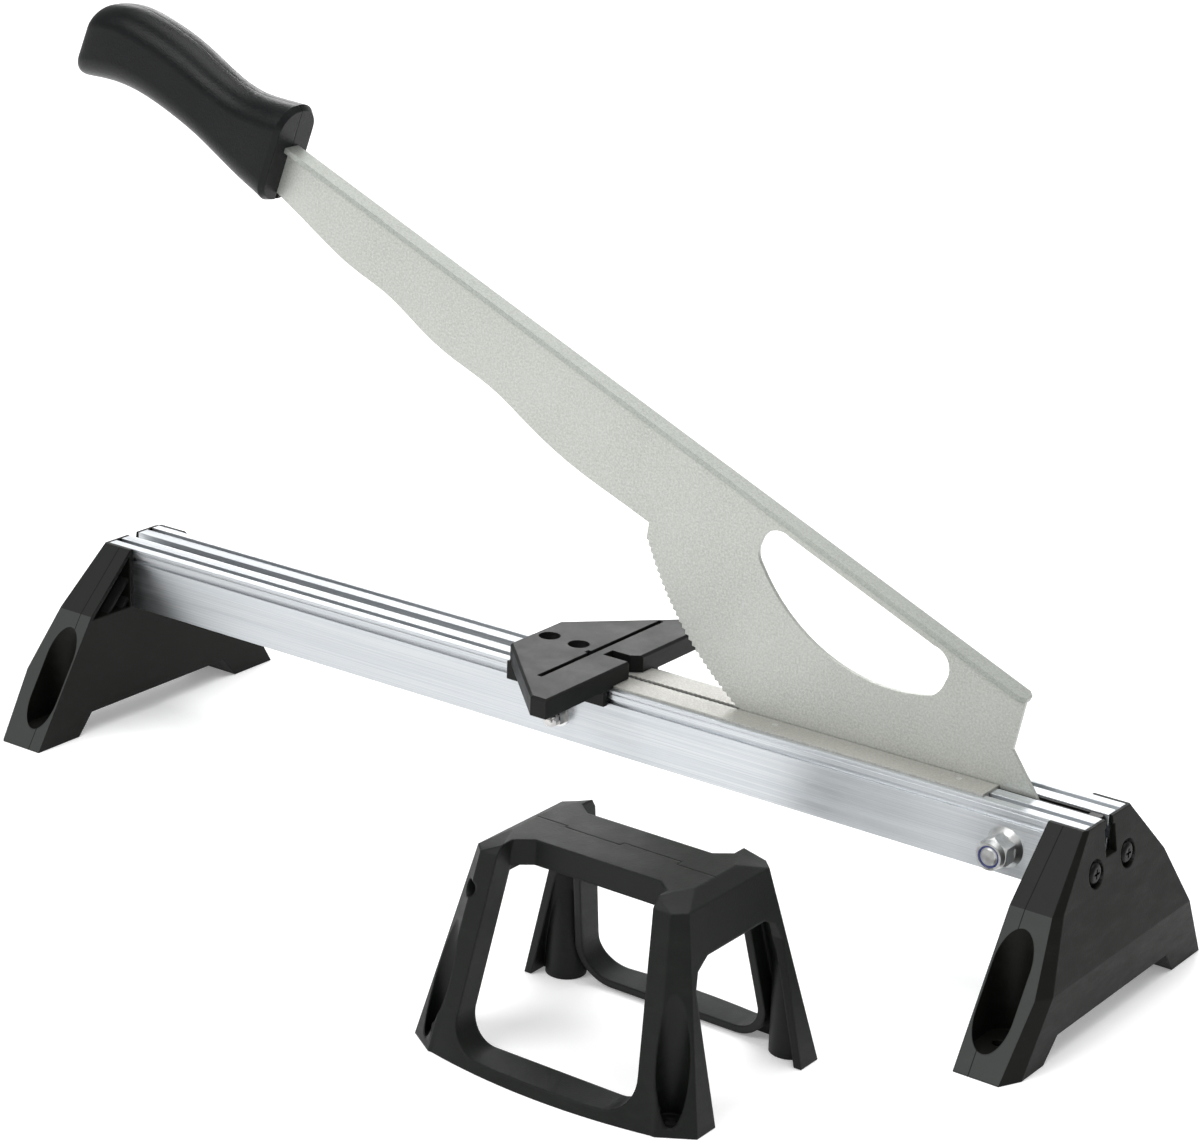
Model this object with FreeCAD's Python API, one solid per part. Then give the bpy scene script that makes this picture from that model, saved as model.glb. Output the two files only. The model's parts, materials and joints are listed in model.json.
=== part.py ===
import FreeCAD, Part

# Guillotine cutter for laminate and vinyl floor tiles, with its loose work support.
# Frame: +X along the rail towards the pivot, +Y to the back, +Z up, millimetres.
# The origin is the middle of the four bench screw holes, on the face the feet stand on.

import math
import os

Vector = FreeCAD.Vector

# ---- rail: two aluminium extrusions side by side, with the blade slot between them ----
RAIL_TOP = 87.5
RAIL_BOTTOM = 57.5
RAIL_HALF_WIDTH = 17.75
RAIL_END = 271.8
SLOT_HALF = 3.0
RAIL_WALL = 2.0
TOP_GROOVE = (9.3, 13.0)            # distance from the middle plane
TOP_GROOVE_DEPTH = 5.0
SIDE_GROOVE = (81.0, 83.2)          # heights
SIDE_GROOVE_DEPTH = 1.5
LINE_GROOVE = (85.6, 86.2)          # heights of the thin decorative line
LINE_GROOVE_DEPTH = 0.4
T_SLOT = (76.5, 82.5)               # heights of the wide part of the slot
T_SLOT_HALF = 5.2
UPPER_CAVITY_TOP = 79.5
SCREW_PORT = (13.9, 68.0)           # distance from the middle plane, height
SCREW_PORT_WALL = 1.4

# ---- feet ----
FOOT_INNER_X = 256.0
FOOT_BASE_HALF = 85.0
FOOT_KINK = (47.5, 60.0)            # half depth and height where the legs get steeper
FOOT_TOP_HALF = 19.8
FOOT_CREASE = 31.0                  # height where the outer face leans furthest out
ARCH_HEIGHT = 10.5
ARCH_BASE_HALF = 57.0
ARCH_TOP_HALF = 48.0
BENCH_HOLE = (265.5, 65.5)
BENCH_HOLE_RADIUS = 2.75
BENCH_POCKET = (8.5, 14.0)          # half width and half length of the pocket above a bench hole
POCKET_FLOOR = 8.0
RIB_TOPS = (72.6, 62.7)             # heights where the side pocket's ribs meet its web
FOOT_SCREW_SEAT_X = 274.5
FOOT_SCREW_RECESS = 6.2
FOOT_SCREW_RADIUS = 2.0
FOOT_SCREW_LENGTH = 22.0
FOOT_SCREW_HEAD = (4.8, 2.6)        # radius and height

# ---- pivot and tie bolts, both along Y ----
PIVOT = (235.8, 69.5)
BOLT_RADIUS = 4.0                   # M8
BUSH_RADIUS = 6.0
RUNNING_CLEARANCE = 0.05
NUT_FLAT_HALF = 6.5                 # half the width across flats of an M8 nut
NUT_RING_RADIUS = 4.9
NUT_RING_Y = (-12.4, -10.5)         # from the rail's face
PIVOT_BOLT_END = -31.3
TIE = (7.0, 68.7)
TIE_RADIUS = 2.5                    # M5
TIE_FLAT_HALF = 4.0
TIE_DOME_RADIUS = 3.75
TIE_WASHER = (5.2, 1.0)             # outer radius and thickness
WASHER_THICKNESS = 1.6

# ---- lever, drawn lying level: U from the pivot to the handle, V up ----
OPEN_ANGLE = 22.8                   # how far the lever stands open at rest
PLATE_HALF = 1.0
CUT_CENTRE = (105.0, 112.0)         # centre of the toothed cutting arc
CUT_RADIUS = 155.0
TOOTH_PITCH = 3.0
TOOTH_DEPTH = 1.1
HEEL = (217.0, 10.3)                # where the wavy edge ends above the cutting arc
SPINE_TOP = 54.6
SPINE_THICKNESS = 2.5
SPINE_HALF_WIDTH = 4.6
SPINE_TIP_U = 26.0
TANG_END_U = 570.0
TAIL_RADIUS = 11.5

# ---- handle: sections across it, from the blade end to the rounded end ----
HANDLE_SECTIONS = [                 # u and v of the middle, half height, half width, lean
    (465, 50.0, 24.8, 13.4, -0.05),
    (476, 48.8, 22.4, 13.2, -0.03),
    (491, 47.7, 19.5, 12.4, 0.0),
    (510, 48.9, 17.9, 12.4, 0.0),
    (532, 50.7, 18.5, 13.2, 0.0),
    (554, 49.9, 19.1, 13.6, 0.0),
    (572, 46.0, 20.0, 13.4, 0.0),
    (582, 41.6, 19.7, 12.6, 0.0),
    (587, 38.9, 18.4, 11.2, 0.0),
    (589.5, 37.6, 15.0, 8.8, 0.0),
]
HANDLE_BEVEL = (2.7, 1.7)           # along the lever, and across
HANDLE_SEAM_HALF = 0.15
HANDLE_SCREW_U = (484.0, 518.0, 552.0)
HANDLE_SCREW_V = 44.0
HANDLE_SCREW_RADIUS = 2.0
HANDLE_SCREW_Y = (-8.5, 8.0)        # tip, and the seat of the head
HANDLE_SCREW_HEAD = (3.7, 2.2)      # radius and height

# ---- counter-blades: steel strips on the rail, one each side of the blade ----
STRIP_START = 8.0
STRIP_END = 222.6
STRIP_GAP_HALF = 1.2
STRIP_OUTER = 15.0
STRIP_THICKNESS = 1.0
STRIP_TOOTH_PITCH = 2.5
STRIP_TOOTH_DEPTH = 0.5
RIVET_X = (25.0, 114.0, 206.0)
RIVET_Y = 6.2
RIVET_RADIUS = 1.4
RIVET_END = RAIL_TOP - 4.0

# ---- fence ----
FENCE_EDGE_X = 34.0
FENCE_TIP_X = 25.5                  # where the 45 degree edges begin
FENCE_APEX_X = -21.2
FENCE_APEX_HALF = 18.8
FENCE_TIP_HALF = 65.5
FENCE_BOTTOM = RAIL_TOP + 0.1
FENCE_TOP = 96.7
FENCE_GROOVE_X = (12.8, 15.4)
FENCE_GROOVE_Y = (-44.0, 50.0)
FENCE_GROOVE_FLOOR = 92.0
FENCE_LIP_OUTER = 21.0              # from the middle plane
FENCE_LIP_BOTTOM = 80.0
HEEL_NOTCH_HALF = 3.6               # the notch that the blade's heel enters
HEEL_NOTCH_X = (19.5, 29.5)
FENCE_SCREW_X = (-13.2, 3.3)
FENCE_SCREW_RADIUS = 2.5            # M5
FENCE_SCREW_SEAT = 90.0

# ---- loose work support, as high as the rail ----
SUPPORT_CENTRE = (139.0, -154.0)
SUPPORT_TOP = 88.0
SUPPORT_SHOULDER = 84.0
SUPPORT_BASE_HALF = (69.5, 52.0)
SUPPORT_SHOULDER_HALF = (51.0, 33.0)
SUPPORT_TOP_HALF = (44.0, 30.0)
SUPPORT_WALL = 3.5
END_ARCH = [                        # half of the end opening's outline: y and height
    (30.5, -1.0), (30.5, 54.0), (27.5, 61.0), (20.0, 65.0),
]
WINDOW_LIP = 12.0
WINDOW_BOTTOM = 4.5
WINDOW_CORNER = 13.0                # radius of the two lower corners
WINDOW_HALF = (44.0, 37.3)          # half width above the corners, and at the deck
DECK_HALF = 17.5
DECK_SKIRT_BOTTOM = 77.0
POST = (56.5, 42.5)
POST_RADIUS = 8.8
POST_BORE = 6.5
POST_FLOOR = 3.0
SUPPORT_HOLE_RADIUS = 2.5

os.makedirs("parts", exist_ok=True)


# ---------------------------------------------------------------- helpers

def box(x, y, z):
    """A box from three (low, high) pairs."""
    return Part.makeBox(x[1] - x[0], y[1] - y[0], z[1] - z[0], Vector(x[0], y[0], z[0]))


def rod(radius, start, end):
    """A round bar between two points."""
    start, end = Vector(*start), Vector(*end)
    return Part.makeCylinder(radius, (end - start).Length, start, end - start)


def rod_y(radius, place, y_from, y_to):
    """A round bar along Y at place, which is (x, z)."""
    return rod(radius, (place[0], y_from, place[1]), (place[0], y_to, place[1]))


def ring_y(outer, inner, place, y_from, y_to):
    """A tube or washer along Y."""
    return rod_y(outer, place, y_from, y_to).cut(rod_y(inner, place, y_from - 1, y_to + 1))


def hexagon_y(flat_half, place, y_from, y_to):
    """A hexagonal prism along Y with two corners pointing up and down."""
    corner = flat_half / math.cos(math.radians(30))
    points = []
    for step in range(6):
        turn = math.radians(60 * step + 30)
        points.append(Vector(place[0] + corner * math.cos(turn), y_from, place[1] + corner * math.sin(turn)))
    return prism(points, Vector(0, y_to - y_from, 0))


def prism(points, along):
    """A closed outline of points, pushed along a vector."""
    wire = Part.makePolygon(points + [points[0]])
    return Part.Face(wire).extrude(along)


def prism_x(yz_points, x_from, x_to):
    return prism([Vector(x_from, y, z) for y, z in yz_points], Vector(x_to - x_from, 0, 0))


def prism_z(xy_points, z_from, z_to):
    return prism([Vector(x, y, z_from) for x, y in xy_points], Vector(0, 0, z_to - z_from))


def mirror_x(shape):
    return shape.mirror(Vector(0, 0, 0), Vector(1, 0, 0))


def mirror_y(shape):
    return shape.mirror(Vector(0, 0, 0), Vector(0, 1, 0))


def both_sides(shape):
    """The shape together with its mirror image across the middle plane."""
    return [shape, mirror_y(shape)]


def obround_z(centre, half_width, half_length, z_from, z_to):
    """An upright slot with round ends, long in Y."""
    x, y = centre
    reach = half_length - half_width
    middle = box((x - half_width, x + half_width), (y - reach, y + reach), (z_from, z_to))
    ends = [rod(half_width, (x, y + side * reach, z_from), (x, y + side * reach, z_to)) for side in (-1, 1)]
    return middle.fuse(ends)


def flat_sided_loft(outlines):
    """Flat faces between level outlines, given as (z, corner points), like a moulded block."""
    wires = []
    for z, corners in outlines:
        points = [Vector(x, y, z) for x, y in corners]
        wires.append(Part.makePolygon(points + [points[0]]))
    return Part.makeLoft(wires, True, True)


def cut_corner_rectangle(half_x, half_y, cut_x, cut_y):
    """Eight points of a rectangle about the origin with its corners cut off."""
    near_x, near_y = half_x - cut_x, half_y - cut_y
    return [(near_x, -half_y), (half_x, -near_y), (half_x, near_y), (near_x, half_y),
            (-near_x, half_y), (-half_x, near_y), (-half_x, -near_y), (-near_x, -half_y)]


def save(name, solids):
    """Write one node: a solid, or a group of separate solids."""
    if not isinstance(solids, list):
        solids = [solids]
    pieces = [piece for shape in solids for piece in shape.removeSplitter().Solids]
    shape = pieces[0] if len(pieces) == 1 else Part.makeCompound(pieces)
    shape.exportStep("parts/" + name + ".step")
    print(name, len(pieces), "solid(s),", round(shape.Volume / 1000, 2), "cm3")


# ---------------------------------------------------------------- rail

def rail_half():
    """The back extrusion: a hollow bar with a top groove, a side groove and half of the T-slot."""
    inner, outer = SLOT_HALF, RAIL_HALF_WIDTH
    outline = [
        (inner, RAIL_BOTTOM), (inner, T_SLOT[0]), (T_SLOT_HALF, T_SLOT[0]), (T_SLOT_HALF, T_SLOT[1]),
        (inner, T_SLOT[1]), (inner, RAIL_TOP),
        (TOP_GROOVE[0], RAIL_TOP), (TOP_GROOVE[0], RAIL_TOP - TOP_GROOVE_DEPTH),
        (TOP_GROOVE[1], RAIL_TOP - TOP_GROOVE_DEPTH), (TOP_GROOVE[1], RAIL_TOP),
        (outer, RAIL_TOP), (outer, LINE_GROOVE[1]), (outer - LINE_GROOVE_DEPTH, LINE_GROOVE[1]),
        (outer - LINE_GROOVE_DEPTH, LINE_GROOVE[0]), (outer, LINE_GROOVE[0]),
        (outer, SIDE_GROOVE[1]), (outer - SIDE_GROOVE_DEPTH, SIDE_GROOVE[1]),
        (outer - SIDE_GROOVE_DEPTH, SIDE_GROOVE[0]), (outer, SIDE_GROOVE[0]), (outer, RAIL_BOTTOM),
    ]
    bar = prism_x(outline, -RAIL_END, RAIL_END)
    lower = box((-RAIL_END - 1, RAIL_END + 1), (inner + RAIL_WALL, outer - RAIL_WALL),
                (RAIL_BOTTOM + RAIL_WALL, T_SLOT[0] - RAIL_WALL))
    upper = box((-RAIL_END - 1, RAIL_END + 1), (T_SLOT_HALF + RAIL_WALL, outer - RAIL_WALL),
                (T_SLOT[0], UPPER_CAVITY_TOP))
    port = rod(FOOT_SCREW_RADIUS + SCREW_PORT_WALL, (-RAIL_END, *SCREW_PORT), (RAIL_END, *SCREW_PORT))
    bar = bar.cut([lower, upper]).fuse(port)
    bar = bar.cut(rod(FOOT_SCREW_RADIUS, (-RAIL_END - 1, *SCREW_PORT), (RAIL_END + 1, *SCREW_PORT)))
    bolt_holes = [rod_y(BOLT_RADIUS + 0.1, PIVOT, 0, outer + 1), rod_y(TIE_RADIUS + 0.1, TIE, 0, outer + 1)]
    rivet_holes = [rod(RIVET_RADIUS, (x, RIVET_Y, RIVET_END), (x, RIVET_Y, RAIL_TOP + 1)) for x in RIVET_X]
    return bar.cut(bolt_holes + rivet_holes)


# ---------------------------------------------------------------- feet

def foot_half_at(height):
    """Half depth of a foot's steep lower part at a height."""
    share = height / FOOT_KINK[1]
    return FOOT_BASE_HALF + (FOOT_KINK[0] - FOOT_BASE_HALF) * share


def foot_blank():
    """The outside of the right foot: slanted legs, and an outer face that leans out to a crease."""
    sections = [                    # height, outer x, half depth, front corner cuts, back corner cut
        (0.0, 282.0, FOOT_BASE_HALF, 5.0, 10.0, 2.0),
        (FOOT_CREASE, 284.0, foot_half_at(FOOT_CREASE), 4.0, 8.0, 1.8),
        (FOOT_KINK[1], 278.0, FOOT_KINK[0], 2.5, 5.0, 1.5),
        (RAIL_TOP, 273.5, FOOT_TOP_HALF, 1.5, 3.0, 1.0),
    ]
    outlines = []
    for z, outer, half, cut_x, cut_y, back_cut in sections:
        outlines.append((z, [(FOOT_INNER_X, -half), (outer - cut_x, -half), (outer, cut_y - half),
                             (outer, half - back_cut), (outer - back_cut, half), (FOOT_INNER_X, half)]))
    return flat_sided_loft(outlines)


def foot_side_pocket():
    """The three-cornered pocket beside the rail, open to the inside, with its two slanted ribs left in."""
    web, shelf, wall, rib = FOOT_TOP_HALF + 0.2, RAIL_BOTTOM + 0.5, 2.2, 1.5
    slope = (RAIL_TOP - FOOT_KINK[1]) / (FOOT_KINK[0] - FOOT_TOP_HALF)
    stretch = math.hypot(1, slope)
    pocket_x = (FOOT_INNER_X - 1, RAIL_END)
    top = RAIL_TOP - wall * stretch
    pocket = prism_x([(web, shelf), (web, top), (web + (top - shelf) / slope, shelf)], *pocket_x)
    for rib_top in RIB_TOPS:
        strip = [(web, rib_top), (web + 40, rib_top - 40 * slope),
                 (web + 40, rib_top - 40 * slope - rib * stretch), (web, rib_top - rib * stretch)]
        pocket = pocket.cut(prism_x(strip, FOOT_INNER_X + 1.5, pocket_x[1]))
    return pocket


def foot_right():
    """One plastic foot: it holds the rail's end, and two bench screws go down through its legs."""
    foot = foot_blank()
    rail_seat = box((FOOT_INNER_X - 1, RAIL_END + 0.2), (-RAIL_HALF_WIDTH, RAIL_HALF_WIDTH),
                    (RAIL_BOTTOM, RAIL_TOP + 1))
    slot_notch = prism_x([(-4.6, 72), (4.6, 72), (4.6, 84), (3.2, 84), (3.2, RAIL_TOP + 1),
                          (-3.2, RAIL_TOP + 1), (-3.2, 84), (-4.6, 84)], RAIL_END - 1, 290)
    arch = prism_x([(-ARCH_BASE_HALF, 0), (-ARCH_TOP_HALF, ARCH_HEIGHT), (ARCH_TOP_HALF, ARCH_HEIGHT),
                    (ARCH_BASE_HALF, 0), (ARCH_BASE_HALF, -1), (-ARCH_BASE_HALF, -1)], 250, 290)
    foot = foot.cut([rail_seat, slot_notch, arch] + both_sides(foot_side_pocket()))
    for y_from, y_to in ((-45, -16), (-14, 14), (16, 45)):
        foot = foot.cut(box((FOOT_INNER_X + 3.5, 276), (y_from, y_to), (ARCH_HEIGHT - 1, RAIL_BOTTOM - 3.5)))
    for side in (-1, 1):
        place = (BENCH_HOLE[0], side * BENCH_HOLE[1])
        foot = foot.cut(obround_z(place, *BENCH_POCKET, POCKET_FLOOR, 90))
        foot = foot.cut(rod(BENCH_HOLE_RADIUS, (*place, -1), (*place, POCKET_FLOOR + 1)))
        screw = (side * SCREW_PORT[0], SCREW_PORT[1])
        foot = foot.cut(rod(FOOT_SCREW_RADIUS + 0.3, (RAIL_END - 1, *screw), (290, *screw)))
        foot = foot.cut(rod(FOOT_SCREW_RECESS, (FOOT_SCREW_SEAT_X, *screw), (290, *screw)))
    return foot


def foot_screw(side):
    """Domed cross screw from the foot's outer face into the rail's screw port."""
    place = (side * SCREW_PORT[0], SCREW_PORT[1])
    radius, height = FOOT_SCREW_HEAD
    seat, top = FOOT_SCREW_SEAT_X, FOOT_SCREW_SEAT_X + height
    head = rod(radius, (seat, *place), (top, *place))
    head = head.makeFillet(2.0, [edge for edge in head.Edges if edge.BoundBox.XMin > top - 0.1])
    screw = head.fuse(rod(FOOT_SCREW_RADIUS, (seat - FOOT_SCREW_LENGTH, *place), (seat, *place)))
    arm = (seat + 1.2, seat + 3)
    cross = box(arm, (place[0] - 0.5, place[0] + 0.5), (place[1] - 2.2, place[1] + 2.2))
    return screw.cut([cross, box(arm, (place[0] - 2.2, place[0] + 2.2), (place[1] - 0.5, place[1] + 0.5))])


# ---------------------------------------------------------------- counter-blades and liner

def counter_blade():
    """The back strip: a toothed shearing edge at the slot and a rib that locates it in the rail's groove."""
    pitch, depth = STRIP_TOOTH_PITCH, STRIP_TOOTH_DEPTH
    outline = [(STRIP_START, STRIP_OUTER)]
    steps = int((STRIP_END - STRIP_START) / pitch)
    for step in range(steps):
        x = STRIP_START + step * pitch
        outline += [(x, STRIP_GAP_HALF), (x + pitch / 2, STRIP_GAP_HALF + depth)]
    outline += [(STRIP_END, STRIP_GAP_HALF), (STRIP_END, STRIP_OUTER)]
    strip = prism_z(outline, RAIL_TOP, RAIL_TOP + STRIP_THICKNESS)
    rib_y = (TOP_GROOVE[0] + 0.4, TOP_GROOVE[1] - 0.4)
    rib = box((STRIP_START, STRIP_END), rib_y, (RAIL_TOP - 2.4, RAIL_TOP))
    for x in RIVET_X:
        strip = strip.cut(rod(RIVET_RADIUS, (x, RIVET_Y, RAIL_TOP - 1), (x, RIVET_Y, RAIL_TOP + 2)))
    return strip.fuse(rib)


def rivet(x):
    """Flush rivet through the back strip into the rail's inner ledge."""
    return rod(RIVET_RADIUS, (x, RIVET_Y, RIVET_END), (x, RIVET_Y, RAIL_TOP + STRIP_THICKNESS))


def slot_liner():
    """Plastic hairpin that lines the slot's pivot end, so that the blade runs between its two arms."""
    low, high = T_SLOT[1] + 0.3, RAIL_TOP - 0.4
    arm_end = 267.5
    arms = [box((STRIP_END + 0.4, arm_end), y, (low, high)) for y in ((1.3, SLOT_HALF), (-SLOT_HALF, -1.3))]
    bend = rod(SLOT_HALF, (arm_end, 0, low), (arm_end, 0, high))
    return bend.fuse(arms)


# ---------------------------------------------------------------- pivot and tie

def pivot_bolt():
    """M8 hexagon bolt from the back, its end turned down at the nut side."""
    head_from = RAIL_HALF_WIDTH + WASHER_THICKNESS
    end = PIVOT_BOLT_END
    shank = rod_y(BOLT_RADIUS, PIVOT, end + 0.7, head_from)
    tip = Part.makeCone(BOLT_RADIUS - 0.7, BOLT_RADIUS, 0.7, Vector(PIVOT[0], end, PIVOT[1]), Vector(0, 1, 0))
    return shank.fuse([tip, hexagon_y(NUT_FLAT_HALF, PIVOT, head_from, head_from + 5.3)])


def pivot_nut():
    """Flanged lock nut: flange on the rail, hexagon, and an open collar that holds the nylon ring."""
    face = -RAIL_HALF_WIDTH
    flange = Part.makeCone(6.9, 8.95, 2.6, Vector(PIVOT[0], face - 2.6, PIVOT[1]), Vector(0, 1, 0))
    hexagon = hexagon_y(NUT_FLAT_HALF, PIVOT, face - 10.0, face - 1.0)
    cone = Part.makeCone(6.5, 14.5, 8.0, Vector(PIVOT[0], face - 10.0, PIVOT[1]), Vector(0, 1, 0))
    straight = rod_y(14.5, PIVOT, face - 2.0, face)
    collar = Part.makeCone(5.9, 6.4, 3.7, Vector(PIVOT[0], face - 13.2, PIVOT[1]), Vector(0, 1, 0))
    nut = flange.fuse([hexagon.common(cone.fuse(straight)), collar])
    ring_room = rod_y(NUT_RING_RADIUS, PIVOT, face - 15, face + NUT_RING_Y[1])
    return nut.cut([rod_y(BOLT_RADIUS, PIVOT, face - 20, face + 1), ring_room])


def pivot_nut_ring():
    """Nylon locking ring in the open mouth of the nut's collar."""
    face = -RAIL_HALF_WIDTH
    return ring_y(NUT_RING_RADIUS, BOLT_RADIUS, PIVOT, face + NUT_RING_Y[0], face + NUT_RING_Y[1])


def friction_washer():
    """Plain washer between the blade and the back rail half, on the bush."""
    return ring_y(10.5, BUSH_RADIUS, PIVOT, PLATE_HALF + 0.05, SLOT_HALF).common(
        box((0, 300), (0, 10), (RAIL_BOTTOM, T_SLOT[0])))


def tie_bolt():
    """M5 hexagon bolt that keeps the rail halves together beside the blade's heel."""
    head_from = RAIL_HALF_WIDTH + TIE_WASHER[1]
    head = hexagon_y(TIE_FLAT_HALF, TIE, head_from, head_from + 3.5)
    return head.fuse(rod_y(TIE_RADIUS, TIE, -head_from - 6.5, head_from))


def tie_nut():
    """Domed cap nut on the front end of the tie bolt."""
    seat = -RAIL_HALF_WIDTH - TIE_WASHER[1]
    hexagon = hexagon_y(TIE_FLAT_HALF, TIE, seat - 4.2, seat)
    neck = rod_y(TIE_DOME_RADIUS, TIE, seat - 5.8, seat - 4.2)
    dome = Part.makeSphere(TIE_DOME_RADIUS, Vector(TIE[0], seat - 5.8, TIE[1]))
    return hexagon.fuse([neck, dome]).cut(rod_y(TIE_RADIUS, TIE, seat - 6.5, seat + 1))


# ---------------------------------------------------------------- lever

def lever_point(u, v, y=0.0):
    """A point of the level lever, U from the pivot to the handle and V up."""
    return Vector(PIVOT[0] - u, y, PIVOT[1] + v)


def raised(shape):
    """Turn a piece of the level lever up to its rest pose."""
    shape.rotate(Vector(PIVOT[0], 0, PIVOT[1]), Vector(0, 1, 0), OPEN_ANGLE)
    return shape


def cutting_arc():
    """The toothed arc: polygon points from the heel round to the hidden tail end."""
    start = math.atan2(3.0 - CUT_CENTRE[1], 215.0 - CUT_CENTRE[0])
    end = math.atan2(-36.6 - CUT_CENTRE[1], 61.0 - CUT_CENTRE[0])
    teeth = int(CUT_RADIUS * abs(end - start) / TOOTH_PITCH)
    points = []
    for step in range(2 * teeth + 1):
        turn = start + (end - start) * step / (2 * teeth)
        radius = CUT_RADIUS - (TOOTH_DEPTH if step % 2 else 0)
        points.append(lever_point(CUT_CENTRE[0] + radius * math.cos(turn),
                                  CUT_CENTRE[1] + radius * math.sin(turn)))
    return points


def wavy_edge():
    """The smooth lower edge from the handle to the heel, which steps down in three waves."""
    knots = [(470, 31.5), (432, 25.7), (408, 22.7), (386, 22.5), (359, 17.9), (341, 16.4),
             (317, 16.4), (290, 12.3), (264, 9.6), (240, 9.8), HEEL]
    curve = Part.BSplineCurve()
    curve.interpolate([lever_point(u, v) for u, v in knots])
    return curve.toShape()


def blade_plate():
    """The steel blade plate, with its toothed arc, hand cut-out, tail eye and tang."""
    spine_bottom = SPINE_TOP - SPINE_THICKNESS
    arc_points = cutting_arc()
    tail = [lever_point(8, -8.4), lever_point(0, -TAIL_RADIUS), lever_point(-8.2, -8.2),
            lever_point(-TAIL_RADIUS, 0), lever_point(-10.5, 6.5), lever_point(3, 18.1),
            lever_point(21.8, 29.7), lever_point(SPINE_TIP_U + 0.5, spine_bottom)]
    tang = [lever_point(TANG_END_U, spine_bottom), lever_point(TANG_END_U, 36), lever_point(470, 33),
            lever_point(470, 31.5)]
    edges = [Part.makePolygon([tail[-1]] + tang), wavy_edge(),
             Part.makePolygon([lever_point(*HEEL)] + arc_points + tail)]
    outline = Part.Wire(Part.__sortEdges__([edge for shape in edges for edge in shape.Edges]))
    plate = Part.Face(outline).extrude(Vector(0, 2 * PLATE_HALF, 0))
    plate.translate(Vector(0, -PLATE_HALF, 0))
    eye = rod_y(BUSH_RADIUS + RUNNING_CLEARANCE, PIVOT, -5, 5)
    holes = [rod_y(2.2, handle_screw_place(u), -5, 5) for u in HANDLE_SCREW_U]
    return plate.cut([eye, hand_cutout()] + holes)


def hand_cutout():
    """The D-shaped opening above the pivot: straight along the spine, bowed below."""
    top = 47.5
    corners = [(153, top), (164.5, 37), (160, 28), (110, 11.5), (64, 27), (61.5, 37), (73, top)]
    point = {name: lever_point(*place) for name, place in zip("abcdefg", corners)}
    left_middle = lever_point(162.2, 44.6)
    right_middle = lever_point(63.8, 44.6)
    edges = [
        Part.Arc(point["a"], left_middle, point["b"]).toShape(),
        Part.Arc(point["b"], lever_point(163.6, 32), point["c"]).toShape(),
        Part.Arc(point["c"], point["d"], point["e"]).toShape(),
        Part.Arc(point["e"], lever_point(61.8, 32), point["f"]).toShape(),
        Part.Arc(point["f"], right_middle, point["g"]).toShape(),
        Part.LineSegment(point["g"], point["a"]).toShape(),
    ]
    hole = Part.Face(Part.Wire(edges)).extrude(Vector(0, 20, 0))
    hole.translate(Vector(0, -10, 0))
    return hole


def blade_spine():
    """The flat strip on top of the plate that makes the lever a stiff T-section."""
    low, high = PIVOT[1] + SPINE_TOP - SPINE_THICKNESS, PIVOT[1] + SPINE_TOP
    x_handle, x_tip = PIVOT[0] - TANG_END_U, PIVOT[0] - SPINE_TIP_U
    tip_cut = 2.5
    outline = [(x_handle, -SPINE_HALF_WIDTH), (x_tip - tip_cut, -SPINE_HALF_WIDTH),
               (x_tip, tip_cut - SPINE_HALF_WIDTH), (x_tip, SPINE_HALF_WIDTH - tip_cut),
               (x_tip - tip_cut, SPINE_HALF_WIDTH), (x_handle, SPINE_HALF_WIDTH)]
    return prism_z(outline, low, high)


# ---------------------------------------------------------------- handle

def handle_screw_place(u):
    """Where a handle screw crosses the tang, as (x, z) on the level lever."""
    return PIVOT[0] - u, PIVOT[1] + HANDLE_SCREW_V


def handle_section(u, middle, half_height, half_width, lean):
    """A rounded rectangle across the handle; lean tips its top to the blade."""
    radius = 0.9 * half_width
    inset = radius * (1 - math.cos(math.radians(45)))
    flat_y, flat_v = half_width - radius, half_height - radius
    near_y, near_v = half_width - inset, half_height - inset

    def point(y, v):
        return lever_point(u - lean * v, middle + v, y)

    ring = []
    for y_sign, v_sign in ((1, 1), (-1, 1), (-1, -1), (1, -1)):
        side = point(y_sign * half_width, v_sign * flat_v)
        corner = point(y_sign * near_y, v_sign * near_v)
        cap = point(y_sign * flat_y, v_sign * half_height)
        ring.append((side, corner, cap) if y_sign == v_sign else (cap, corner, side))
    edges = []
    for index, (start, corner, end) in enumerate(ring):
        following = ring[(index + 1) % 4][0]
        edges += [Part.Arc(start, corner, end).toShape(), Part.LineSegment(end, following).toShape()]
    return Part.Wire(edges)


def handle_blank():
    """The whole grip: a lofted body with a bevelled front end that leans with the lever."""
    body = Part.makeLoft([handle_section(*section) for section in HANDLE_SECTIONS], True, False)
    along, across = HANDLE_BEVEL
    u, middle, half_height, half_width, lean = HANDLE_SECTIONS[0]
    front = handle_section(u - along, middle, half_height - across, half_width - across, lean)
    return body.fuse(Part.makeLoft([front, handle_section(*HANDLE_SECTIONS[0])], True, True))


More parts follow.
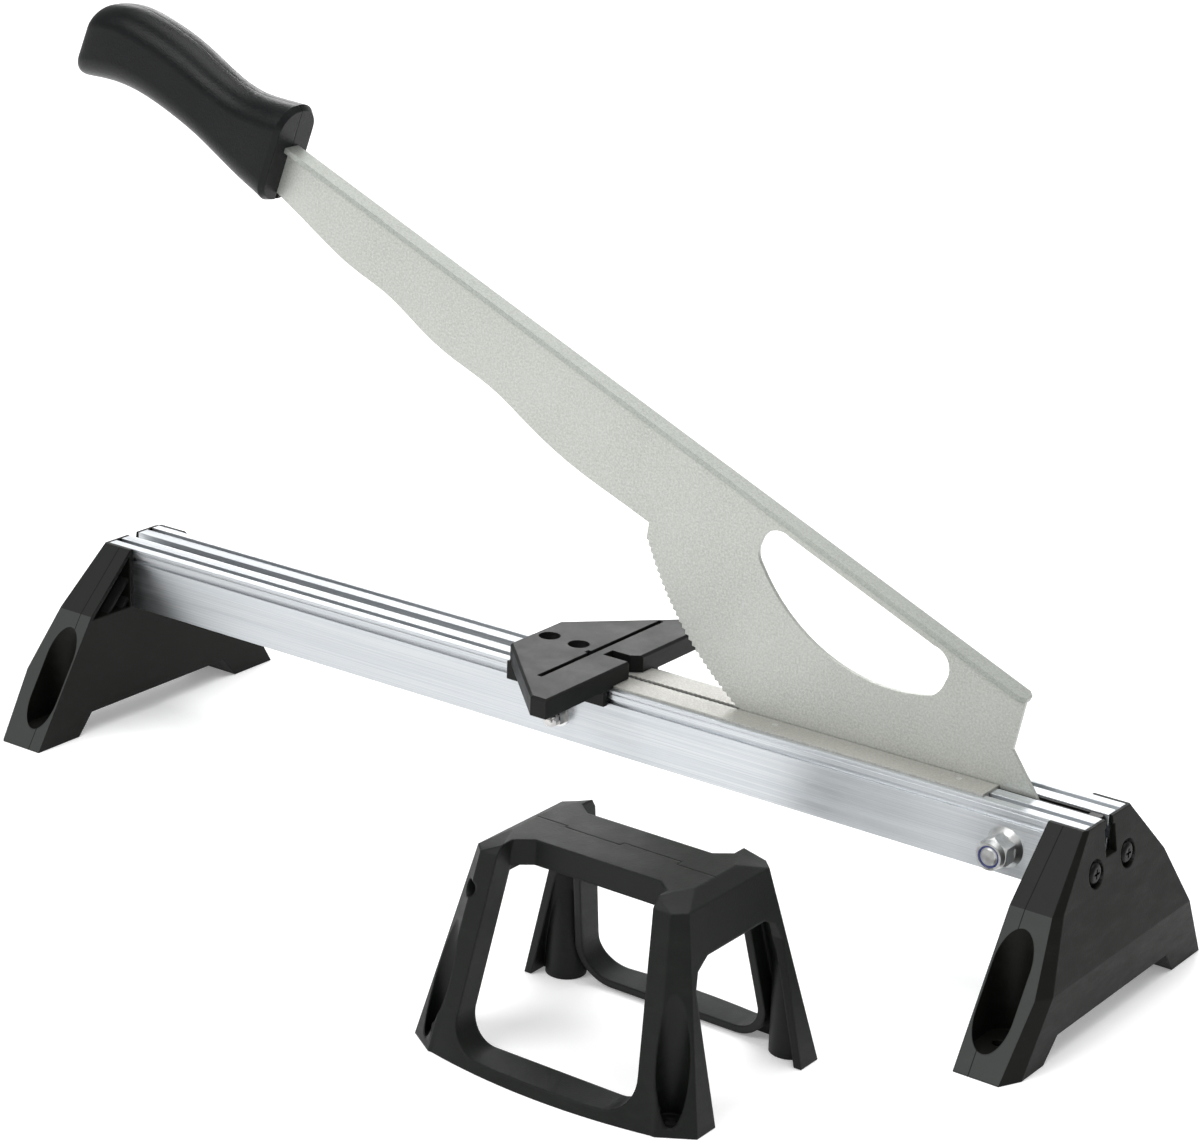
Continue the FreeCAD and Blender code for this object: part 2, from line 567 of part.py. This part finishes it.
def handle_shell(side):
    """One half of the grip, front (-1) or back (+1), hollowed for the tang, the spine and the screws."""
    depth = (HANDLE_SEAM_HALF, 30) if side > 0 else (-30, -HANDLE_SEAM_HALF)
    half = box((PIVOT[0] - 620, PIVOT[0] - 430), depth, (0, 200))
    shell = handle_blank().common(half)
    tang = box((PIVOT[0] - TANG_END_U - 0.3, PIVOT[0] - 400), (-PLATE_HALF, PLATE_HALF),
               (PIVOT[1] + 25, PIVOT[1] + SPINE_TOP - 1))
    spine = box((PIVOT[0] - TANG_END_U - 0.3, PIVOT[0] - 400), (-SPINE_HALF_WIDTH, SPINE_HALF_WIDTH),
                (PIVOT[1] + SPINE_TOP - SPINE_THICKNESS, PIVOT[1] + SPINE_TOP))
    shell = shell.cut([tang, spine])
    tip, seat = HANDLE_SCREW_Y
    for u in HANDLE_SCREW_U:
        place = handle_screw_place(u)
        shell = shell.cut(rod_y(HANDLE_SCREW_RADIUS, place, tip, 30))
        shell = shell.cut(rod_y(HANDLE_SCREW_HEAD[0] + 0.3, place, seat, 30))
    return shell


def handle_screw(u):
    """Countersunk-in screw from the back shell through the tang into the front shell."""
    place = handle_screw_place(u)
    tip, seat = HANDLE_SCREW_Y
    radius, height = HANDLE_SCREW_HEAD
    screw = rod_y(radius, place, seat, seat + height).fuse(rod_y(HANDLE_SCREW_RADIUS, place, tip, seat))
    arm = (seat + height - 1, seat + height + 1)
    x, z = place
    return screw.cut([box((x - 0.5, x + 0.5), arm, (z - 1.8, z + 1.8)),
                      box((x - 1.8, x + 1.8), arm, (z - 0.5, z + 0.5))])


# ---------------------------------------------------------------- fence

def fence_plate():
    """Fence plate with a square edge and two 45 degree edges, and a shoe that hugs the rail."""
    front_half = [(FENCE_APEX_X, -FENCE_APEX_HALF), (FENCE_TIP_X, -FENCE_TIP_HALF),
                  (FENCE_EDGE_X, -FENCE_TIP_HALF)]
    outline = front_half + [(x, -y) for x, y in reversed(front_half)]
    plate = prism_z(outline, FENCE_BOTTOM, FENCE_TOP)
    plate = chamfered_top(plate, 1.0)
    lip_x = (FENCE_APEX_X, FENCE_EDGE_X - 1)
    for side in (-1, 1):
        lip = sorted((side * (RAIL_HALF_WIDTH + 0.3), side * FENCE_LIP_OUTER))
        hook = sorted((side * (RAIL_HALF_WIDTH - 1.2), side * (RAIL_HALF_WIDTH + 1)))
        plate = plate.fuse(box(lip_x, lip, (FENCE_LIP_BOTTOM, FENCE_BOTTOM + 1)))
        plate = plate.fuse(box(lip_x, hook, (SIDE_GROOVE[0] + 0.4, SIDE_GROOVE[1] - 0.4)))
    half, (notch_end, flare) = HEEL_NOTCH_HALF, HEEL_NOTCH_X
    blade_notch = prism_z([(notch_end, -half), (notch_end, half), (flare, half), (FENCE_EDGE_X + 1, 8.0),
                           (FENCE_EDGE_X + 1, -half)], 75, 100)
    strip_room = box((STRIP_START - 1.0, FENCE_EDGE_X + 1), (-STRIP_OUTER - 0.4, STRIP_OUTER + 0.4),
                     (FENCE_BOTTOM - 1, RAIL_TOP + STRIP_THICKNESS + 0.3))
    groove = box(FENCE_GROOVE_X, FENCE_GROOVE_Y, (FENCE_GROOVE_FLOOR, FENCE_TOP + 1))
    groove_nick = box((11.2, 13.0), (-6.5, -3.5), (FENCE_GROOVE_FLOOR, FENCE_TOP + 1))
    plate = plate.cut([blade_notch, strip_room, groove, groove_nick])
    for x in FENCE_SCREW_X:
        plate = plate.cut([rod(5.0, (x, 0, FENCE_SCREW_SEAT), (x, 0, 100)),
                           rod(FENCE_SCREW_RADIUS + 0.3, (x, 0, 80), (x, 0, 100))])
    return plate


def chamfered_top(shape, size):
    """Break the edges round a prism's upper face."""
    top = shape.BoundBox.ZMax - 0.01
    return shape.makeChamfer(size, [edge for edge in shape.Edges if edge.BoundBox.ZMin > top])


def fence_screw(x):
    """M5 cap screw, deep in the fence, down into the nut bar."""
    seat = FENCE_SCREW_SEAT
    head = rod(4.25, (x, 0, seat), (x, 0, seat + 3.0))
    socket_hole = rod(2.0, (x, 0, seat + 1.2), (x, 0, seat + 4))
    return head.fuse(rod(FENCE_SCREW_RADIUS, (x, 0, 77.0), (x, 0, seat))).cut(socket_hole)


def fence_nut_bar():
    """Tapped steel bar in the rail's T-slot that the fence screws pull up."""
    half = T_SLOT_HALF - 0.3
    bar = box((FENCE_APEX_X - 2, 8), (-half, half), (T_SLOT[0] + 0.3, T_SLOT[1] - 0.1))
    return bar.cut([rod(FENCE_SCREW_RADIUS, (x, 0, 70), (x, 0, 90)) for x in FENCE_SCREW_X])


# ---------------------------------------------------------------- work support

def support_blank(inset_x, inset_y, top_inset):
    """The support's outside, or the same block drawn in by some walls."""
    sections = [                    # height, half sizes, corner cut in x and y
        (0.0, SUPPORT_BASE_HALF, 14.0, 9.0),
        (SUPPORT_SHOULDER - top_inset, SUPPORT_SHOULDER_HALF, 5.0, 5.0),
        (SUPPORT_TOP - top_inset, SUPPORT_TOP_HALF, 7.0, 16.0),
    ]
    return flat_sided_loft([(z, cut_corner_rectangle(half[0] - inset_x, half[1] - inset_y, cut_x, cut_y))
                            for z, half, cut_x, cut_y in sections])


def window_prism(margin, depth):
    """The front and back windows, grown by a margin: round lower corners, sides up past the deck."""
    low, high = WINDOW_BOTTOM - margin, SUPPORT_TOP + 10
    radius = WINDOW_CORNER + margin
    half, half_at_deck = WINDOW_HALF[0] + margin, WINDOW_HALF[1] + margin
    lean = (half - half_at_deck) / (SUPPORT_TOP - low - radius)
    half_high = half_at_deck - lean * (high - SUPPORT_TOP)
    bend = radius * (1 - math.cos(math.radians(45)))

    places = [(half_high, high), (half, low + radius), (half - bend, low + bend), (half - radius, low)]
    right = [Vector(x, -depth, z) for x, z in places]
    left = [Vector(-x, -depth, z) for x, z in places]
    edges = [
        Part.LineSegment(left[0], left[1]),
        Part.Arc(left[1], left[2], left[3]),
        Part.LineSegment(left[3], right[3]),
        Part.Arc(right[3], right[2], right[1]),
        Part.LineSegment(right[1], right[0]),
        Part.LineSegment(right[0], left[0]),
    ]
    outline = Part.Wire([edge.toShape() for edge in edges])
    return Part.Face(outline).extrude(Vector(0, 2 * depth, 0))


def deck_plan(inset, reach):
    """The waisted deck between the windows, as plan points: narrow in the middle, wider towards its ends."""
    wide, narrow = 24.5 - inset, DECK_HALF - inset
    quarter = [(reach, wide), (39.0 - inset / 2, wide), (30.5 - inset / 2, narrow)]
    half = quarter + [(-x, y) for x, y in reversed(quarter)]
    return half + [(-x, -y) for x, y in half]


def bowed_bar():
    """The bulge of the front foot bar, which fades out up the legs."""
    half, bow, faded, height = 56.0, 6.0, 0.3, 24.0
    lean = (SUPPORT_BASE_HALF[1] - SUPPORT_SHOULDER_HALF[1]) / SUPPORT_SHOULDER
    wires = []
    for z, bulge in ((0.0, bow), (height, faded)):
        base = -SUPPORT_BASE_HALF[1] + 0.5 + lean * z
        left, right = Vector(-half, base, z), Vector(half, base, z)
        wires.append(Part.Wire([Part.Arc(left, Vector(0, base - bulge, z), right).toShape(),
                                Part.LineSegment(right, left).toShape()]))
    return Part.makeLoft(wires, True, True)


def seam_groove():
    """The fine stepped mould line along the deck."""
    low = SUPPORT_TOP - 0.4
    runs = [(-45.0, -29.0, 1.5), (-29.0, -2.0, 0.0), (-2.0, 26.0, 2.5), (26.0, 46.0, -0.8)]
    width = 0.35
    lines = [box((x_from, x_to), (y, y + width), (low, SUPPORT_TOP + 1)) for x_from, x_to, y in runs]
    for (_, x, y), (_, _, next_y) in zip(runs, runs[1:]):
        lines.append(box((x, x + width), (min(y, next_y), max(y, next_y) + width), (low, SUPPORT_TOP + 1)))
    return lines


def support_stand():
    """The loose support: a moulded bridge with windows, a waisted deck and four upright screw posts."""
    outer = support_blank(0, 0, 0)
    stand = outer.cut(support_blank(SUPPORT_WALL, SUPPORT_WALL, SUPPORT_WALL))
    lip_room = outer.cut(support_blank(0, WINDOW_LIP, 0).fuse(box((-99, 99), (-20, 20), (-1, 99))))
    lip = window_prism(SUPPORT_WALL, 90).common(lip_room)
    deck_wall = prism_z(deck_plan(0, 41), DECK_SKIRT_BOTTOM, SUPPORT_TOP).common(outer)
    deck_wall = deck_wall.cut(prism_z(deck_plan(SUPPORT_WALL, 60), 70, SUPPORT_TOP - 1))
    posts = []
    bores = []
    for x in (-POST[0], POST[0]):
        for y in (-POST[1], POST[1]):
            posts.append(rod(POST_RADIUS, (x, y, 0), (x, y, 80)).common(outer))
            bores.append(rod(POST_BORE, (x, y, POST_FLOOR), (x, y, 90)))
            bores.append(rod(SUPPORT_HOLE_RADIUS, (x, y, -1), (x, y, 10)))
    stand = stand.fuse([lip, deck_wall] + posts + both_sides(bowed_bar()))
    deck = prism_z(deck_plan(0, 70), DECK_SKIRT_BOTTOM, SUPPORT_TOP + 20)
    end_arch = prism_x(END_ARCH + [(-y, z) for y, z in reversed(END_ARCH)], WINDOW_HALF[0] + 2, 99)
    corner_hole = rod(3.6, (-53.5, -42.3, 68), (-46.5, -31.7, 68))
    openings = [window_prism(0, 99).cut(deck), end_arch, mirror_x(end_arch), corner_hole]
    stand = stand.cut(openings + bores + seam_groove())
    stand.translate(Vector(*SUPPORT_CENTRE, 0))
    return stand


# ---------------------------------------------------------------- build

def build_base():
    back_rail = rail_half()
    save("rail_rear", back_rail)
    save("rail_front", mirror_y(back_rail))
    strip = counter_blade()
    save("counter_blade_rear", strip)
    save("counter_blade_front", mirror_y(strip))
    rivets = [rivet(x) for x in RIVET_X]
    save("counter_blade_rivets", rivets + [mirror_y(piece) for piece in rivets])
    save("slot_liner", slot_liner())
    foot = foot_right()
    save("foot_right", foot)
    save("foot_left", foot.rotated(Vector(0, 0, 0), Vector(0, 0, 1), 180))
    screws = [foot_screw(side) for side in (-1, 1)]
    save("foot_screws", screws + [mirror_x(screw) for screw in screws])


def build_bolts():
    outer = RAIL_HALF_WIDTH
    save("pivot_bolt", pivot_bolt())
    save("pivot_nut", pivot_nut())
    save("pivot_nut_ring", pivot_nut_ring())
    save("pivot_washer", ring_y(8.0, BOLT_RADIUS, PIVOT, outer, outer + WASHER_THICKNESS))
    save("pivot_bush", ring_y(BUSH_RADIUS, BOLT_RADIUS, PIVOT, -SLOT_HALF, SLOT_HALF))
    washer = friction_washer()
    save("friction_washer_rear", washer)
    save("friction_washer_front", mirror_y(washer))
    save("tie_bolt", tie_bolt())
    save("tie_nut", tie_nut())
    tie_washer = ring_y(TIE_WASHER[0], TIE_RADIUS, TIE, outer, outer + TIE_WASHER[1])
    save("tie_washer_rear", tie_washer)
    save("tie_washer_front", mirror_y(tie_washer))
    save("tie_spacer", ring_y(4.2, TIE_RADIUS, TIE, -SLOT_HALF, SLOT_HALF))


def build_lever():
    save("blade_plate", raised(blade_plate()))
    save("blade_spine", raised(blade_spine()))
    save("handle_front_shell", raised(handle_shell(-1)))
    save("handle_rear_shell", raised(handle_shell(1)))
    save("handle_screws", [raised(handle_screw(u)) for u in HANDLE_SCREW_U])


def build_fence():
    save("fence_plate", fence_plate())
    save("fence_screws", [fence_screw(x) for x in FENCE_SCREW_X])
    save("fence_nut_bar", fence_nut_bar())


build_base()
build_bolts()
build_lever()
build_fence()
save("support_stand", support_stand())
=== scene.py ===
"""Looks for the lever shear for floor tiles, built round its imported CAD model."""
import json
import math

import bpy
from mathutils import Matrix, Vector

# ---- camera; metres, with +X along the rail to the pivot, +Y back and +Z up ----
CAMERA_PLACE = (0.825, -1.146, 0.621)
CAMERA_AZIMUTH = 35.30       # turned left of +Y, degrees
CAMERA_ELEVATION = 19.13     # looking down, degrees
CAMERA_ROLL = 2.12           # degrees
CAMERA_LENS = 99.6           # mm on a 36 mm wide sensor

# ---- stage ----
LIGHT_TARGET = (0, 0, 0.15)
LIGHTS = [                   # name, place, width and height, watts
    ("key", (-0.7, -2.2, 2.0), (1.6, 1.3), 43),
    ("overhead", (0.2, 0.3, 2.4), (2.4, 1.8), 45),
    ("right_fill", (2.2, -1.3, 1.4), (1.2, 1.2), 3),
    ("back_panel", (-1.6, 2.6, 1.3), (2.2, 1.2), 34),
]
WORLD_STRENGTH = 0.45
FLOOR_HALF = 9.0
FLOOR_DROP = 0.0002          # keeps the floor clear of the faces that stand on it
FLOOR_GLOW = 0.22            # lightens the shadows, as in a white studio

# ---- painted light and the mould line on the feet ----
LEG_NORMAL = (0.0, 0.848, 0.530)     # of the lower slanted faces, which get the lightest painted colour, without the sign of Y
MOULD_LINE_X = 0.263                 # from the middle of the rail, at both ends
MIX_FIRST, MIX_SECOND, MIX_RESULT = 6, 7, 2      # the colour sockets of a Mix node

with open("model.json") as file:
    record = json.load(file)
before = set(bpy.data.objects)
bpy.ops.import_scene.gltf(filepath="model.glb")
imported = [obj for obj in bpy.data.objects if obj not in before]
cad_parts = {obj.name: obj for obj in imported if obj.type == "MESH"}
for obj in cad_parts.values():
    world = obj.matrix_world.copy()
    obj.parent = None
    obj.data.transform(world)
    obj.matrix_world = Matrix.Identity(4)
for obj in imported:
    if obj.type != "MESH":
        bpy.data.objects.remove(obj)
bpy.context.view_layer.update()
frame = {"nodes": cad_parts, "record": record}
nodes = frame["nodes"]


# ---------------------------------------------------------------- node helpers

class Shader:
    """A material's node tree, with short calls for the nodes that the finishes here use."""

    def __init__(self, name, color, roughness, metallic=0.0, **sockets):
        self.material = bpy.data.materials.new(name)
        self.material.use_nodes = True
        self.tree = self.material.node_tree
        self.bsdf = self.tree.nodes["Principled BSDF"]
        self.bsdf.inputs["Base Color"].default_value = (*color, 1.0)
        self.bsdf.inputs["Roughness"].default_value = roughness
        self.bsdf.inputs["Metallic"].default_value = metallic
        for key, value in sockets.items():
            self.bsdf.inputs[key.replace("_", " ")].default_value = value
        self.object_coords = self.node("ShaderNodeTexCoord").outputs["Object"]
        self.normal = None

    def node(self, kind, **settings):
        made = self.tree.nodes.new(kind)
        for key, value in settings.items():
            setattr(made, key, value)
        return made

    def link(self, output, socket):
        self.tree.links.new(output, socket)

    def coords(self, stretch=(1, 1, 1)):
        """The object's own coordinates in metres, scaled up along each axis by stretch."""
        mapping = self.node("ShaderNodeMapping")
        mapping.inputs["Scale"].default_value = stretch
        self.link(self.object_coords, mapping.inputs["Vector"])
        return mapping.outputs["Vector"]

    def noise(self, scale, detail=2.0, stretch=(1, 1, 1), roughness=0.5):
        made = self.node("ShaderNodeTexNoise")
        made.inputs["Scale"].default_value = scale
        made.inputs["Detail"].default_value = detail
        made.inputs["Roughness"].default_value = roughness
        self.link(self.coords(stretch), made.inputs["Vector"])
        return made.outputs["Fac"]

    def cells(self, scale, feature="F1"):
        made = self.node("ShaderNodeTexVoronoi", feature=feature)
        made.inputs["Scale"].default_value = scale
        self.link(self.coords(), made.inputs["Vector"])
        return made

    def math(self, operation, *values):
        return self.sum_up("ShaderNodeMath", operation, values).outputs["Value"]

    def vector(self, operation, *values):
        return self.sum_up("ShaderNodeVectorMath", operation, values)

    def sum_up(self, kind, operation, values):
        """A maths node whose inputs are the values: sockets are linked, numbers are set."""
        made = self.node(kind, operation=operation)
        for socket, value in zip(made.inputs, values):
            if isinstance(value, bpy.types.NodeSocket):
                self.link(value, socket)
            else:
                socket.default_value = value
        return made

    def ramp(self, value, low, high, out_low, out_high):
        """Stretch value from low..high to out_low..out_high, and hold it at the ends."""
        made = self.node("ShaderNodeMapRange")
        for key, number in (("From Min", low), ("From Max", high), ("To Min", out_low), ("To Max", out_high)):
            made.inputs[key].default_value = number
        self.link(value, made.inputs["Value"])
        return made.outputs["Result"]

    def mix_color(self, factor, first, second):
        made = self.node("ShaderNodeMix", data_type="RGBA")
        for index, color in ((MIX_FIRST, first), (MIX_SECOND, second)):
            if isinstance(color, bpy.types.NodeSocket):
                self.link(color, made.inputs[index])
            else:
                made.inputs[index].default_value = (*color, 1.0)
        self.link(factor, made.inputs["Factor"])
        return made.outputs[MIX_RESULT]

    def color(self, output):
        self.link(output, self.bsdf.inputs["Base Color"])

    def rough(self, output):
        self.link(output, self.bsdf.inputs["Roughness"])

    def bump(self, height, distance, strength):
        """Add relief, distance deep in metres, on top of the relief that is there."""
        made = self.node("ShaderNodeBump")
        made.inputs["Distance"].default_value = distance
        made.inputs["Strength"].default_value = strength
        self.link(height, made.inputs["Height"])
        if self.normal is not None:
            self.link(self.normal, made.inputs["Normal"])
        self.normal = made.outputs["Normal"]
        self.link(self.normal, self.bsdf.inputs["Normal"])

    def rounded_edges(self, radius):
        """Shade sharp edges as if they were rounded; called before bump."""
        made = self.node("ShaderNodeBevel", samples=4)
        made.inputs["Radius"].default_value = radius
        self.normal = made.outputs["Normal"]
        self.link(self.normal, self.bsdf.inputs["Normal"])

    def brushed_along_x(self, amount):
        """Stretch the highlights round the X axis, as fine lines along X do."""
        tangent = self.node("ShaderNodeTangent", direction_type="RADIAL", axis="X")
        self.bsdf.inputs["Anisotropic"].default_value = amount
        self.link(tangent.outputs["Tangent"], self.bsdf.inputs["Tangent"])


# ---------------------------------------------------------------- finishes

def galvanised(name, light, dark, roughness):
    """Zinc-coated sheet: fine sparkling grain with faint larger clouds."""
    shader = Shader(name, light, roughness, metallic=0.5)
    grain = shader.noise(1050, detail=3, roughness=0.7)
    clouds = shader.noise(22, detail=4)
    speck = shader.cells(1100)
    tint = shader.mix_color(shader.ramp(grain, 0.35, 0.65, 0, 1), dark, light)
    shader.color(shader.mix_color(shader.ramp(clouds, 0.3, 0.7, 0.0, 0.35), tint, light))
    shader.rough(shader.ramp(speck.outputs["Color"], 0.0, 1.0, roughness - 0.1, roughness + 0.14))
    shader.rounded_edges(0.0003)
    shader.bump(grain, 0.00016, 0.6)
    return shader.material


def extruded_aluminium():
    """Mill-finish extrusion: fine drawn lines along the rail, their bluish tint a painted reflection."""
    shader = Shader("mill_aluminium", (0.7, 0.7, 0.7), 0.34, metallic=1.0)
    lines = shader.noise(1.0, detail=5, stretch=(6, 2200, 2200), roughness=0.65)
    bands = shader.noise(1.0, detail=2, stretch=(2, 260, 260))
    streaks = shader.ramp(lines, 0.35, 0.7, 0, 1)
    # the dark lines are real drawing marks; their bluish tint is a painted reflection
    shader.color(shader.mix_color(streaks, (0.47, 0.505, 0.535), (0.67, 0.68, 0.69)))
    shader.rough(shader.ramp(bands, 0.3, 0.7, 0.34, 0.46))
    shader.brushed_along_x(0.78)
    shader.rounded_edges(0.0004)
    shader.bump(lines, 0.00004, 0.5)
    return shader.material


def black_plastic(name, color, roughness, grain_scale, grain_depth, specular, edge):
    """Moulded black plastic: fine spark-eroded grain, faint scuffs and lighter dust.

    grain_depth and edge, the radius of its broken edges, are in metres.
    """
    shader = Shader(name, color, roughness, Specular_IOR_Level=specular)
    grain = shader.noise(grain_scale, detail=2, roughness=0.6)
    scuffs = shader.noise(60, detail=6, stretch=(1, 1, 3), roughness=0.7)
    light = tuple(channel * 2.0 + 0.003 for channel in color)
    shader.color(shader.mix_color(shader.ramp(scuffs, 0.48, 0.85, 0.0, 0.6), color, light))
    shader.rough(shader.ramp(scuffs, 0.25, 0.75, roughness - 0.07, roughness + 0.09))
    shader.rounded_edges(edge)
    shader.bump(grain, grain_depth, 0.6)
    return shader


def foot_plastic():
    """Black plastic with painted light on the slanted faces of each leg, lighter still on the lower leg panel
    (part rougher texture, part painted light), and the mould line down the leg's middle.
    """
    shader = black_plastic("foot_black", (0.0050, 0.0054, 0.0044), 0.5, 1300, 0.0001, 0.11, 0.0009)
    coords = shader.node("ShaderNodeTexCoord")
    upright = shader.vector("ABSOLUTE", coords.outputs["Normal"])
    likeness = shader.vector("DOT_PRODUCT", upright.outputs["Vector"], LEG_NORMAL)
    painted_panel_mask = shader.ramp(likeness.outputs["Value"], 0.99, 0.995, 0, 1)
    slanted = shader.ramp(likeness.outputs["Value"], 0.93, 0.94, 0, 1)
    place = shader.vector("ABSOLUTE", coords.outputs["Object"])
    split = shader.node("ShaderNodeSeparateXYZ")
    shader.link(place.outputs["Vector"], split.inputs[0])
    offset = shader.math("ABSOLUTE", shader.math("SUBTRACT", split.outputs["X"], MOULD_LINE_X))
    line = shader.math("MULTIPLY", shader.ramp(offset, 0.00005, 0.00035, 1, 0), slanted)
    plain = shader.bsdf.inputs["Base Color"].links[0].from_socket
    # painted light: the upper slanted faces are coloured lighter, as if front lamps fell on them
    painted_light_upper = shader.mix_color(slanted, plain, (0.017, 0.018, 0.017))
    # lower leg panel: lighter texture in part, painted light in part
    painted_light_panel = shader.mix_color(painted_panel_mask, painted_light_upper, (0.042, 0.045, 0.043))
    shader.color(shader.mix_color(line, painted_light_panel, (0.001, 0.001, 0.001)))
    return shader


def turned_metal(name, color, roughness, metallic=1.0, **sockets):
    """Plated or blackened turned steel: slight clouding and fine marks."""
    shader = Shader(name, color, roughness, metallic=metallic, **sockets)
    clouds = shader.noise(260, detail=4, roughness=0.65)
    dark = tuple(channel * 0.78 for channel in color)
    shader.color(shader.mix_color(shader.ramp(clouds, 0.3, 0.7, 0, 1), dark, color))
    shader.rough(shader.ramp(clouds, 0.3, 0.7, roughness - 0.06, roughness + 0.1))
    shader.bump(clouds, 0.00005, 0.4)
    return shader.material


def nylon():
    """Coloured nylon locking ring, slightly see-through."""
    shader = Shader("blue_nylon", (0.06, 0.07, 0.22), 0.35, Subsurface_Weight=0.15)
    tone = shader.noise(500, detail=2)
    shader.color(shader.mix_color(shader.ramp(tone, 0.3, 0.7, 0, 1), (0.04, 0.05, 0.18), (0.09, 0.10, 0.28)))
    shader.bump(tone, 0.00005, 0.4)
    return shader.material


FINISHES = {
    "aluminium_extrusion": extruded_aluminium(),
    "counter_blade_steel": galvanised("counter_blade_zinc", (0.49, 0.485, 0.455), (0.35, 0.345, 0.32), 0.5),
    "galvanised_blade": galvanised("blade_zinc", (0.54, 0.555, 0.52), (0.36, 0.375, 0.345), 0.46),
    "galvanised_spine": galvanised("spine_zinc", (0.40, 0.42, 0.39), (0.28, 0.295, 0.27), 0.42),
    "zinc_steel": turned_metal("zinc_plate", (0.76, 0.77, 0.76), 0.34),
    "bright_steel": turned_metal("turned_steel", (0.66, 0.66, 0.68), 0.3),
    "black_screw_steel": turned_metal(
        "blackened_steel", (0.003, 0.003, 0.0035), 0.42, metallic=0.0, Specular_IOR_Level=0.14),
    "chromed_nut": turned_metal("polished_nut", (0.58, 0.57, 0.56), 0.12),
    "blue_nylon": nylon(),
    "black_liner_plastic": black_plastic(
        "liner_black", (0.005, 0.005, 0.005), 0.42, 1500, 0.00005, 0.2, 0.0004).material,
    "black_foot_plastic": foot_plastic().material,
    "handle_plastic": black_plastic(
        "handle_black", (0.0024, 0.0030, 0.0033), 0.32, 1500, 0.0003, 0.18, 0.0006).material,
    "fence_plastic": black_plastic(
        "fence_black", (0.0055, 0.0062, 0.0055), 0.44, 1500, 0.00006, 0.15, 0.0006).material,
    "black_support_plastic": black_plastic(
        "support_black", (0.0046, 0.0058, 0.0049), 0.46, 1300, 0.0001, 0.18, 0.0014).material,
}


def finish_cad_nodes():
    """Give each CAD node the finish that its record names."""
    for part in frame["record"]["subparts"]:
        piece = nodes[part["node"]]
        piece.data.materials.clear()
        piece.data.materials.append(FINISHES[part["material_slot"]])


# ---------------------------------------------------------------- stage

def add_floor():
    mesh = bpy.data.meshes.new("floor")
    half = FLOOR_HALF
    corners = [(-half, -half, 0), (half, -half, 0), (half, half, 0), (-half, half, 0)]
    mesh.from_pydata(corners, [], [(0, 1, 2, 3)])
    floor = bpy.data.objects.new("floor", mesh)
    bpy.context.scene.collection.objects.link(floor)
    shader = Shader("pale_floor", (0.94, 0.94, 0.94), 0.7,
                    Emission_Color=(1.0, 1.0, 1.0, 1.0), Emission_Strength=FLOOR_GLOW)
    floor.data.materials.append(shader.material)
    floor.location.z = -FLOOR_DROP


def add_area_light(name, place, size, power):
    light = bpy.data.lights.new(name, "AREA")
    light.shape = "RECTANGLE"
    light.size, light.size_y = size
    light.energy = power
    lamp = bpy.data.objects.new(name, light)
    lamp.location = place
    lamp.rotation_euler = (Vector(LIGHT_TARGET) - Vector(place)).to_track_quat("-Z", "Y").to_euler()
    bpy.context.scene.collection.objects.link(lamp)


def add_lights():
    world = bpy.data.worlds.new("studio")
    world.use_nodes = True
    background = world.node_tree.nodes["Background"]
    background.inputs["Color"].default_value = (1.0, 1.0, 1.0, 1.0)
    background.inputs["Strength"].default_value = WORLD_STRENGTH
    bpy.context.scene.world = world
    for light in LIGHTS:
        add_area_light(*light)


def add_camera():
    camera = bpy.data.cameras.new("camera")
    camera.sensor_width = 36.0
    camera.sensor_fit = "HORIZONTAL"
    camera.lens = CAMERA_LENS
    camera.clip_end = 50.0
    holder = bpy.data.objects.new("camera", camera)
    turn = (Matrix.Rotation(math.radians(CAMERA_AZIMUTH), 4, "Z")
            @ Matrix.Rotation(math.radians(90 - CAMERA_ELEVATION), 4, "X")
            @ Matrix.Rotation(math.radians(CAMERA_ROLL), 4, "Z"))
    holder.matrix_world = Matrix.Translation(CAMERA_PLACE) @ turn
    bpy.context.scene.collection.objects.link(holder)
    bpy.context.scene.camera = holder


finish_cad_nodes()
add_floor()
add_lights()
add_camera()
bpy.context.scene.view_settings.view_transform = "Standard"
